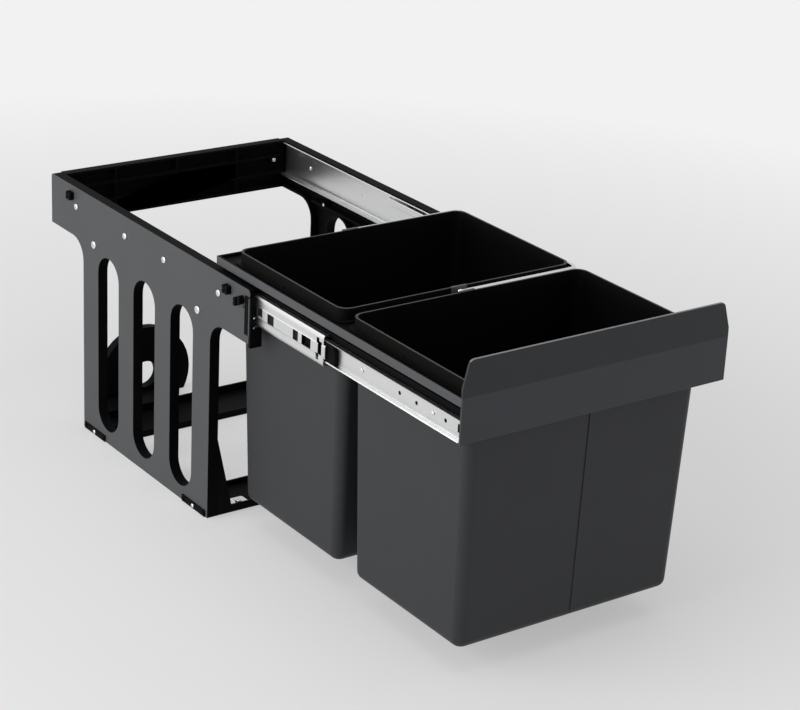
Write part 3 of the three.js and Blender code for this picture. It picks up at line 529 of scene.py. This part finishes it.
def bin_body(name, node):
    """A drawn bin: tapered walls, a flange to hang by, a skirt above it and an open top."""
    low, high = node_box(node)
    centre = (low + high) / 2
    rim = Vector(((high.x - low.x) / 2 - FLANGE_REACH + RIM_OVERHANG,
                  (high.y - low.y) / 2 - FLANGE_REACH, high.z - 1))
    flange = rim.z - SKIRT_HEIGHT - FLANGE_WALL
    floor_z = low.z + BIN_WALL
    lean = math.tan(math.radians(BIN_DRAFT))
    taper = (flange - low.z) * lean
    inner_taper = (flange - floor_z) * lean
    foot = Vector((rim.x - RIM_OVERHANG - SKIRT_STEP - taper, rim.y - SKIRT_STEP - taper, 0))
    piece = cuboid(name, (centre.x - foot.x, centre.y - foot.y, low.z),
                   (centre.x + foot.x, centre.y + foot.y, flange))
    with editing(piece):
        pick("EDGE", lambda edge: abs(edge.verts[0].co.z - edge.verts[1].co.z) > 0.1)
        bpy.ops.mesh.bevel(offset=BIN_CORNER * MM, segments=8, affect="EDGES")
        pick("EDGE", lambda edge: all(vertex.co.z < low.z * MM + TINY for vertex in edge.verts))
        bpy.ops.mesh.bevel(offset=BIN_BOTTOM_ROUND * MM, segments=5, affect="EDGES")
        pick("FACE", lambda face: face.normal.z > 0.9 and middle(face).z > flange * MM - TINY)
        bpy.ops.transform.resize(value=((foot.x + taper) / foot.x, (foot.y + taper) / foot.y, 1),
                                 center_override=centre * MM)
        half = foot + Vector((taper, taper, 0))
        # out on every side, wider at the long sides only, and up
        for out, wider, up in ((SKIRT_STEP + FLANGE_REACH, RIM_OVERHANG, 0), (0, 0, FLANGE_WALL),
                               (-FLANGE_REACH, 0, 0), (0, 0, SKIRT_HEIGHT), (-BIN_WALL, 0, 0),
                               (-SKIRT_STEP, -RIM_OVERHANG, flange - rim.z),
                               (-inner_taper, 0, floor_z - flange)):
            half = step(centre, half, Vector((out + wider, out, 0)), up)
        pick("EDGE", lambda edge: all(abs(vertex.co.z - floor_z * MM) < TINY for vertex in edge.verts))
        bpy.ops.mesh.bevel(offset=(BIN_BOTTOM_ROUND - BIN_WALL) * MM, segments=4, affect="EDGES")
    return piece, centre, rim, flange


def groove_cutter(centre, rim, flange, low_z):
    """A wedge that follows the bin's leaning front face."""
    width, depth = GROOVE
    cutter = cuboid("groove", (GROOVE_X - width / 2, centre.y - rim.y - 8, low_z - 2),
                    (GROOVE_X + width / 2, centre.y - rim.y + SKIRT_STEP + depth, flange - 2))
    taper = (flange - low_z) * math.tan(math.radians(BIN_DRAFT))
    with editing(cutter):
        pick("VERT", lambda vertex: vertex.co.z < low_z * MM)
        bpy.ops.transform.translate(value=(0, taper * MM, 0))
    return cutter


def rim_tabs(centre, rim):
    """A flat tab on the middle of each end of a bin's rim."""
    width, proud, height = TAB
    tabs = []
    for end in (-1, 1):
        face = centre.y + end * rim.y
        faces = sorted((face + end * proud, face - end * BIN_WALL * 0.8))
        tab = cuboid("tab", (TAB_X - width / 2, faces[0], rim.z - height),
                     (TAB_X + width / 2, faces[1], rim.z + 1))
        round_edges(tab, 0.7, 3)
        tabs.append(tab)
    return tabs


def skirt_bumps(centre, rim):
    """Small stops on the skirt's lower line, just behind the middle of each side."""
    behind, half, out = BUMP
    low = rim.z - SKIRT_HEIGHT
    y = centre.y + behind
    bumps = []
    for side in SIDES.values():
        x = side * rim.x
        bump = cuboid("bump", (min(x - side, x + side * out), y - half, low - 1),
                      (max(x - side, x + side * out), y + half, low + 3))
        round_edges(bump, 0.5, 2)
        bumps.append(bump)
    return bumps


def bins():
    """Both bins, with groove, tabs and stops, and the handle's holes in the rear one."""
    for node in ("rear_bin", "front_bin"):
        piece, centre, rim, flange = bin_body(f"{node}_shell", node)
        shape_with(piece, [groove_cutter(centre, rim, flange, node_box(node)[0].z)], "DIFFERENCE")
        shape_with(piece, rim_tabs(centre, rim) + skirt_bumps(centre, rim), "UNION")
        if node == "rear_bin":
            shape_with(piece, handle_holes(), "DIFFERENCE")
        round_edges(piece, 0.5, 2, 40)
        smooth(piece)

        def rule(face, rim=rim, centre=centre, flange=flange):
            spot = face.center / MM
            inner = BIN_WALL - 0.3
            inside = abs(spot.x) < rim.x - inner and abs(spot.y - centre.y) < rim.y - inner
            looks_in = face.normal.z > 0.3 or face.normal.dot(spot - centre) < 0
            # faces inside the bin get the painted shade
            if inside and looks_in and spot.z < rim.z - 0.9:
                return 1
            stands_out = abs(spot.y - centre.y) > rim.y + 0.3 and spot.z > rim.z - TAB[2] - 0.1
            # the tabs get the painted highlight
            if abs(spot.x - TAB_X) < TAB[0] / 2 + 0.2 and (stands_out or spot.z > rim.z + 0.3):
                return 3
            return 2 if flange + 0.6 < spot.z < rim.z - 0.6 else 0

        dress(piece, [bin_outside, bin_inside_painted_shade, bin_skirt, bin_tab_painted_highlight], rule)
        settle(piece, node, "bin_plastic", node)


def handle_line():
    """The wire's corners, the height of its middle and the X of its pivots."""
    low, high = node_box("bin_handle")
    return low, high, (low.z + high.z) / 2, low.x + WIRE


def handle_holes():
    """Cutters for the wire's tips, in from the bin's two ends."""
    low, high, z, pivot = handle_line()
    return [rod("hole", (pivot, y - inwards * 6, z), (pivot, y + inwards * 2.4, z), WIRE + 0.25)
            for y, inwards in ((low.y + 2 * WIRE, 1), (high.y - 2 * WIRE, -1))]


def handle_path():
    """The wire's middle line, from one tip round the grip to the other, with its bends as arcs."""
    low, high, z, pivot = handle_line()
    front, rear = low.y + WIRE, high.y - WIRE
    grip = high.x - WIRE
    at_pivot, at_grip = WIRE_BENDS
    corners = [
        (pivot, front + WIRE_TIP + 2, 0), (pivot, front, at_pivot), (grip, front, at_grip),
        (grip, rear, at_grip), (pivot, rear, at_pivot), (pivot, rear - WIRE_TIP - 2, 0),
    ]
    line = []
    for i, (x, y, radius) in enumerate(corners):
        here = Vector((x, y, z))
        if not radius:
            line.append(here)
            continue
        before = (Vector((*corners[i - 1][:2], z)) - here).normalized() * radius
        after = (Vector((*corners[i + 1][:2], z)) - here).normalized() * radius
        for part in range(BEND_PARTS + 1):
            angle = math.radians(90 * part / BEND_PARTS)
            line.append(here + before * (1 - math.sin(angle)) + after * (1 - math.cos(angle)))
    return line


def handle():
    """Plated wire, bent round to a bail, with a rounded tip in each end of the bin."""
    line = handle_path()
    curve = bpy.data.curves.new("bin_handle_wire", "CURVE")
    curve.dimensions = "3D"
    curve.bevel_depth = WIRE * MM
    curve.bevel_resolution = 5
    curve.use_fill_caps = True
    spline = curve.splines.new("POLY")
    spline.points.add(len(line) - 1)
    for point, place in zip(spline.points, line):
        point.co = (*place * MM, 1)
    wire = bpy.data.objects.new("bin_handle_wire", curve)
    bpy.context.scene.collection.objects.link(wire)
    only(wire)
    bpy.ops.object.convert(target="MESH")
    wire = bpy.context.object
    round_edges(wire, 0.9, 3, 60)
    smooth(wire, 50)
    dress(wire, wire_steel)
    settle(wire, "handle", "handle_wire", "bin_handle")


# ---------------------------------------------------------------- ball slides
def rail_sheet(name, node, back, towards, steps):
    """Steel strip rolled to a rail: a flat band, its edges drawn out step by step, its folds round.

    back is the band's outer face and towards the way its flanges go. Each step goes so far from
    the band's plane and so far up; the ways out are shared out over the rail's depth.
    """
    low, high = node_box(node)
    z = (low.z + high.z) / 2
    share = (high.x - low.x) / sum(out for out, rise in steps)
    only_nothing()
    bpy.ops.mesh.primitive_plane_add(
        size=1, location=(back * MM, (low.y + high.y) / 2 * MM, z * MM),
        rotation=(0, math.pi / 2, 0))
    piece = bpy.context.object
    piece.scale = (2 * BAND_HALF * MM, (high.y - low.y) * MM, 1)
    piece = added(name)
    with editing(piece):
        for up in (-1, 1):
            edge_z = (z + up * BAND_HALF) * MM
            pick("EDGE", lambda edge: all(abs(v.co.z - edge_z) < TINY for v in edge.verts))
            for out, rise in steps:
                bpy.ops.mesh.extrude_region_move(
                    TRANSFORM_OT_translate={"value": (towards * out * share * MM, 0, up * rise * MM)})
        pick("EDGE", lambda edge: len(edge.link_faces) == 2 and edge.calc_face_angle() > 0.2)
        bpy.ops.mesh.bevel(offset=RAIL_BEND * MM, segments=3, affect="EDGES")
    return piece, low.y, z


def cut_out(piece, y0, y1, z0, z1):
    """Takes a rectangle out of a sheet, given by its edges in Y and Z."""
    with editing(piece):
        for place, normal in (((0, y0, 0), (0, 1, 0)), ((0, y1, 0), (0, 1, 0)),
                              ((0, 0, z0), (0, 0, 1)), ((0, 0, z1), (0, 0, 1))):
            bpy.ops.mesh.select_all(action="SELECT")
            bpy.ops.mesh.bisect(plane_co=Vector(place) * MM, plane_no=normal)
        pick("FACE", lambda face: y0 < middle(face).y / MM < y1 and z0 < middle(face).z / MM < z1)
        bpy.ops.mesh.delete(type="FACE")


def finish_rail(piece, body, node, towards, back, holes=(), radius=0):
    """Gives a sheet its wall, drills it and dresses it."""
    modify(piece, "SOLIDIFY", thickness=STEEL_WALL * MM, offset=towards)
    drills = [rod("hole", (back - 4, y, z), (back + 4, y, z), radius) for y, z in holes]
    shape_with(piece, drills, "DIFFERENCE")
    round_edges(piece, 0.18, 2, 50)
    smooth(piece, 40)
    dress(piece, rail_steel)
    settle(piece, body, "zinc_steel", node)


def rails():
    """The three rails of each ball slide."""
    for name, side in SIDES.items():
        fixed_rail(name, side)
        middle_rail(name, side)
        inner_rail(name, side)


def fixed_rail(name, side):
    """The outer rail, screwed inside the plate's band."""
    node = f"fixed_rail_{name}"
    back = far_face(node, side)
    steps = [(0, 11.6), (0.5, 2.4), (1.6, 2.5), (2.6, -0.3), (2.4, -0.6), (2.2, 0.5), (0.9, 0.4)]
    piece = rail_sheet(f"{node}_strip", node, back, -side, steps)[0]
    screws = [sum(node_box(f"rail_screw_{name}_{i}"), Vector()) / 2 for i in (1, 2, 3, 4)]
    finish_rail(piece, "frame", node, -side, back, [(spot.y, spot.z) for spot in screws], 2.05)


def middle_rail(name, side):
    """The rail between, with its windows, latch slot and nose."""
    node = f"middle_rail_{name}"
    back = far_face(node, side)
    steps = [(BAND_RISE, 0.7), (0, 6.6), (0.5, 2.2), (1.4, 2.0), (1.6, -0.3), (1.8, -0.4), (1.8, 0.7)]
    piece, front, z = rail_sheet(f"{node}_strip", node, back, -side, steps)
    for behind, length, bottom, top in WINDOWS + LATCH_SLOT:
        cut_out(piece, front + behind, front + behind + length, z + bottom, z + top)
    proud, half = NOSE
    for bottom, top in ((-25, -half), (half, 25)):
        cut_out(piece, front - 1, front + proud, z + bottom, z + top)
    finish_rail(piece, node, node, -side, back)


def inner_rail(name, side):
    """The rail on the carriage, notched at its front end."""
    node = f"inner_rail_{name}"
    back = near_face(node, side)
    steps = [(0, 5.2), (0.5, 0.9), (1.0, 0.4), (4.2, 0), (0.8, -0.3)]
    piece, front, z = rail_sheet(f"{node}_strip", node, back, side, steps)
    depth, half = INNER_NOTCH
    cut_out(piece, front - 1, front + depth, z - half, z + half)
    finish_rail(piece, "carriage", node, side, back, [(front + y, z) for y in INNER_HOLES], 2.2)


# ---------------------------------------------------------------- front panel
def front_panel():
    """A thin board, narrower towards its top, its upper part leaning back a little."""
    low, high = node_box("front_panel")
    across, down = PANEL_CORNER
    bend = low.z + (high.z - low.z) * PANEL_BEND
    share = math.tan(math.radians(PANEL_LEAN))
    piece = cuboid("front_panel_board", low, high)
    with editing(piece):
        for height in (bend, high.z - down):
            bpy.ops.mesh.select_all(action="SELECT")
            bpy.ops.mesh.bisect(plane_co=(0, 0, height * MM), plane_no=(0, 0, 1))
        pick("VERT", lambda vertex: vertex.co.z > high.z * MM - TINY)
        half = (high.x - low.x) / 2
        bpy.ops.transform.resize(value=((half - across) / half, 1, 1),
                                 center_override=((low + high) / 2 * MM))
        for height in (high.z - down, high.z):
            pick("VERT", lambda vertex: abs(vertex.co.z - height * MM) < TINY)
            bpy.ops.transform.translate(value=(0, (height - bend) * share * MM, 0))
        pick("EDGE", lambda edge: abs(edge.verts[0].co.y - edge.verts[1].co.y) > MM
             and middle(edge).z > high.z * MM - TINY)
        bpy.ops.mesh.bevel(offset=PANEL_TOP_ROUND * MM, segments=6, affect="EDGES")
    round_edges(piece, 0.7, 3, 30)
    smooth(piece, 30)

    def rule(face):
        # upward faces of the top edge get the painted highlight
        if face.normal.z > 0.6:
            return 2
        # faces above the bend get the painted shade
        return int(face.center.z / MM > bend)

    dress(piece, [panel_lower, panel_upper_painted_shade, panel_edge_painted_highlight], rule)
    settle(piece, "carriage", "panel_plastic", "front_panel")


# ---------------------------------------------------------------- fasteners
def turned_head(pattern, length):
    """A head over a shank of some length, both standing on +Z."""
    head, height, shank, crossed = SCREWS[pattern]
    top = rod("head", (0, 0, 0), (0, 0, height), head, HEAD_SIDES)
    with editing(top):
        pick("EDGE", lambda edge: all(vertex.co.z > height * MM - TINY for vertex in edge.verts))
        bpy.ops.mesh.bevel(offset=min(height * 0.8, head * 0.5) * MM, segments=4, affect="EDGES")
    stem = rod("stem", (0, 0, -length), (0, 0, 0.2), shank, 16)
    shape_with(top, [stem], "UNION")
    if crossed:
        reach, slot = head * 0.55, head * 0.16
        bars = [
            cuboid("cross", (-reach, -slot, height * 0.35), (reach, slot, height + 1)),
            cuboid("cross", (-slot, -reach, height * 0.35), (slot, reach, height + 1)),
        ]
        shape_with(top, bars, "DIFFERENCE")
    else:
        shape_with(top, [rod("dimple", (0, 0, height * 0.5), (0, 0, height + 1), head * 0.35, 20)],
                   "DIFFERENCE")
    smooth(top, 30)
    return top


def put_head(piece, spot, direction):
    """Turns a fastener's mesh from +Z to a direction and moves it to its place, in millimetres."""
    turn = Vector(direction).to_track_quat("Z", "Y").to_matrix().to_4x4()
    piece.data.transform(Matrix.Translation(Vector(spot) * MM) @ turn)


def fasteners():
    """Every screw and every rail rivet, each in its node's place with its head outwards."""
    groups = []
    for name, side in SIDES.items():
        out = (side, 0, 0)
        groups += [(f"rail_screw_{name}_{i}", "frame", "large", out) for i in (1, 2, 3, 4)]
        groups += [(f"plate_screw_{name}_{i}", "frame", "wide", out) for i in (1, 2)]
        groups += [(f"clip_screw_{place}_{name}", "frame", "small", out) for place in ("front", "rear")]
        groups += [(f"rail_rivet_{name}_{i}", "carriage", "rivet", out) for i in (1, 2)]
        groups.append((f"floor_screw_{name}", "frame", "large", (0, 0, 1)))
        groups.append((f"rear_beam_screw_{name}", "frame", "small", (0, -1, 0)))
    groups += [(f"panel_screw_{i}", "carriage", "large", (0, 1, 0)) for i in (1, 2)]
    for node, body, pattern, direction in groups:
        height = SCREWS[pattern][1]
        direction = Vector(direction)
        low, high = node_box(node)
        spot = (low + high) / 2
        axis = max(range(3), key=lambda i: abs(direction[i]))
        outer = high[axis] if direction[axis] > 0 else low[axis]
        spot[axis] = outer - direction[axis] * height
        length = high[axis] - low[axis] - height
        piece = turned_head(pattern, length)
        piece.name = piece.data.name = f"{node}_turned"
        put_head(piece, spot, direction)
        dress(piece, screw_steel)
        settle(piece, body, "screw_steel", node)


def screw_tips():
    """The end of the rearmost rail screw on each side, which shows inside the fixed rail."""
    for name, side in SIDES.items():
        node = f"rail_screw_{name}_4"
        low, high = node_box(node)
        spot = (low + high) / 2
        tip = turned_head("tip", 1)
        put_head(tip, (near_face(node, side), spot.y, spot.z), (-side, 0, 0))
        tip.name = tip.data.name = f"rail_screw_tip_{name}"
        dress(tip, screw_steel)
        settle(tip, "frame", "screw_steel")


# ---------------------------------------------------------------- small steel parts
def floor_bracket(name):
    """A small plate with rounded corners and a hole for its screw."""
    low, high = node_box(f"floor_bracket_{name}")
    spot = (low + high) / 2
    plate = cuboid(f"floor_bracket_{name}_plate", low, high)
    with editing(plate):
        pick("EDGE", lambda edge: abs(edge.verts[0].co.z - edge.verts[1].co.z) > 0.1 * MM)
        bpy.ops.mesh.bevel(offset=3 * MM, segments=5, affect="EDGES")
    shape_with(plate, [rod("hole", (spot.x, spot.y, low.z - 1), (spot.x, spot.y, high.z + 1), 2.1)],
               "DIFFERENCE")
    round_edges(plate, 0.25)
    smooth(plate)
    dress(plate, rail_steel)
    settle(plate, "frame", "zinc_steel", f"floor_bracket_{name}")


def steel_bits():
    """The floor brackets and the ball cages."""
    for name in SIDES:
        floor_bracket(name)
        # the cages' near black is painted shade
        moulding(f"outer_ball_cage_{name}", f"outer_cage_{name}", "zinc_steel", cage_painted_shade, 0.1)
        moulding(f"inner_ball_cage_{name}", f"inner_cage_{name}", "zinc_steel", cage_painted_shade, 0.1)


# ---------------------------------------------------------------- floor, lamps and camera
def seen_rays(tree):
    """1 on the rays that see the background itself: straight, in a reflection or through glass."""
    path = add_node(tree, "ShaderNodeLightPath")
    straight = add_node(tree, "ShaderNodeMath", {"operation": "MAXIMUM"})
    tree.links.new(path.outputs["Is Camera Ray"], straight.inputs[0])
    tree.links.new(path.outputs["Is Transmission Ray"], straight.inputs[1])
    any_of_them = add_node(tree, "ShaderNodeMath", {"operation": "MAXIMUM"})
    tree.links.new(straight.outputs[0], any_of_them.inputs[0])
    tree.links.new(path.outputs["Is Glossy Ray"], any_of_them.inputs[1])
    return any_of_them.outputs[0]


def blend_shaders(tree, factor, first, second, output):
    """Feeds an output node with a blend of two shaders."""
    mix = add_node(tree, "ShaderNodeMixShader")
    tree.links.new(factor, mix.inputs[0])
    tree.links.new(first, mix.inputs[1])
    tree.links.new(second, mix.inputs[2])
    tree.links.new(mix.outputs[0], tree.nodes[output].inputs["Surface"])


def studio_floor():
    """A white floor that holds the shadow close by and goes over to the background further out."""
    only_nothing()
    bpy.ops.mesh.primitive_plane_add(size=14)
    floor = added("floor")
    material, tree, shader, place = new_finish("matt_floor", 0.85, specular=0.1)
    shader.inputs["Base Color"].default_value = linear(FLOOR)
    distance = add_node(tree, "ShaderNodeVectorMath", {"operation": "LENGTH"}, Vector=place)
    far = add_node(tree, "ShaderNodeMapRange", {
        "From Min": FLOOR_NEAR, "From Max": FLOOR_FAR, "To Min": FLOOR_GLOW, "To Max": 1.0,
    }, Value=distance.outputs["Value"])
    share = add_node(tree, "ShaderNodeMath", {"operation": "MULTIPLY"})
    tree.links.new(far.outputs["Result"], share.inputs[0])
    tree.links.new(seen_rays(tree), share.inputs[1])
    glow = add_node(tree, "ShaderNodeEmission", {"Color": linear(BACKGROUND), "Strength": 1.0})
    blend_shaders(tree, share.outputs[0], shader.outputs[0], glow.outputs[0], "Material Output")
    dress(floor, material)


def studio_world():
    """An even dim light on the unit, and the pale background where it is seen."""
    world = bpy.data.worlds.new("studio")
    bpy.context.scene.world = world
    world.use_nodes = True
    tree = world.node_tree
    plain = tree.nodes["Background"]
    plain.inputs["Color"].default_value = (1, 1, 1, 1)
    plain.inputs["Strength"].default_value = WORLD_LIGHT
    seen = add_node(tree, "ShaderNodeBackground", {"Color": linear(BACKGROUND), "Strength": 1.0})
    blend_shaders(tree, seen_rays(tree), plain.outputs[0], seen.outputs[0], "World Output")


def lamps():
    """Square area lamps, all aimed at the unit's middle."""
    for name, place, size, watts in LAMPS:
        lamp = bpy.data.lights.new(f"lamp_{name}", "AREA")
        lamp.shape = "SQUARE"
        lamp.size = size
        lamp.energy = watts
        stand = bpy.data.objects.new(f"lamp_{name}", lamp)
        bpy.context.scene.collection.objects.link(stand)
        stand.location = place
        stand.rotation_euler = (Vector(AIM) - Vector(place)).to_track_quat("-Z", "Y").to_euler()


def camera():
    """The camera, placed and turned as the photograph was taken."""
    view = bpy.data.objects.new("camera", bpy.data.cameras.new("camera"))
    bpy.context.scene.collection.objects.link(view)
    view.data.lens = CAMERA_LENS
    view.data.clip_start, view.data.clip_end = 0.05, 50
    turn = (Matrix.Rotation(math.radians(CAMERA_PAN), 4, "Z")
            @ Matrix.Rotation(math.radians(CAMERA_TILT), 4, "X")
            @ Matrix.Rotation(math.radians(CAMERA_ROLL), 4, "Z"))
    view.matrix_world = Matrix.Translation(CAMERA_PLACE) @ turn
    bpy.context.scene.camera = view
    bpy.context.scene.view_settings.view_transform = "Standard"


# ---------------------------------------------------------------- the whole unit
side_plates()
black_mouldings()
end_block_trim()
plate_pegs()
carriage()
bins()
handle()
rails()
front_panel()
fasteners()
screw_tips()
steel_bits()
studio_floor()
studio_world()
lamps()
camera()
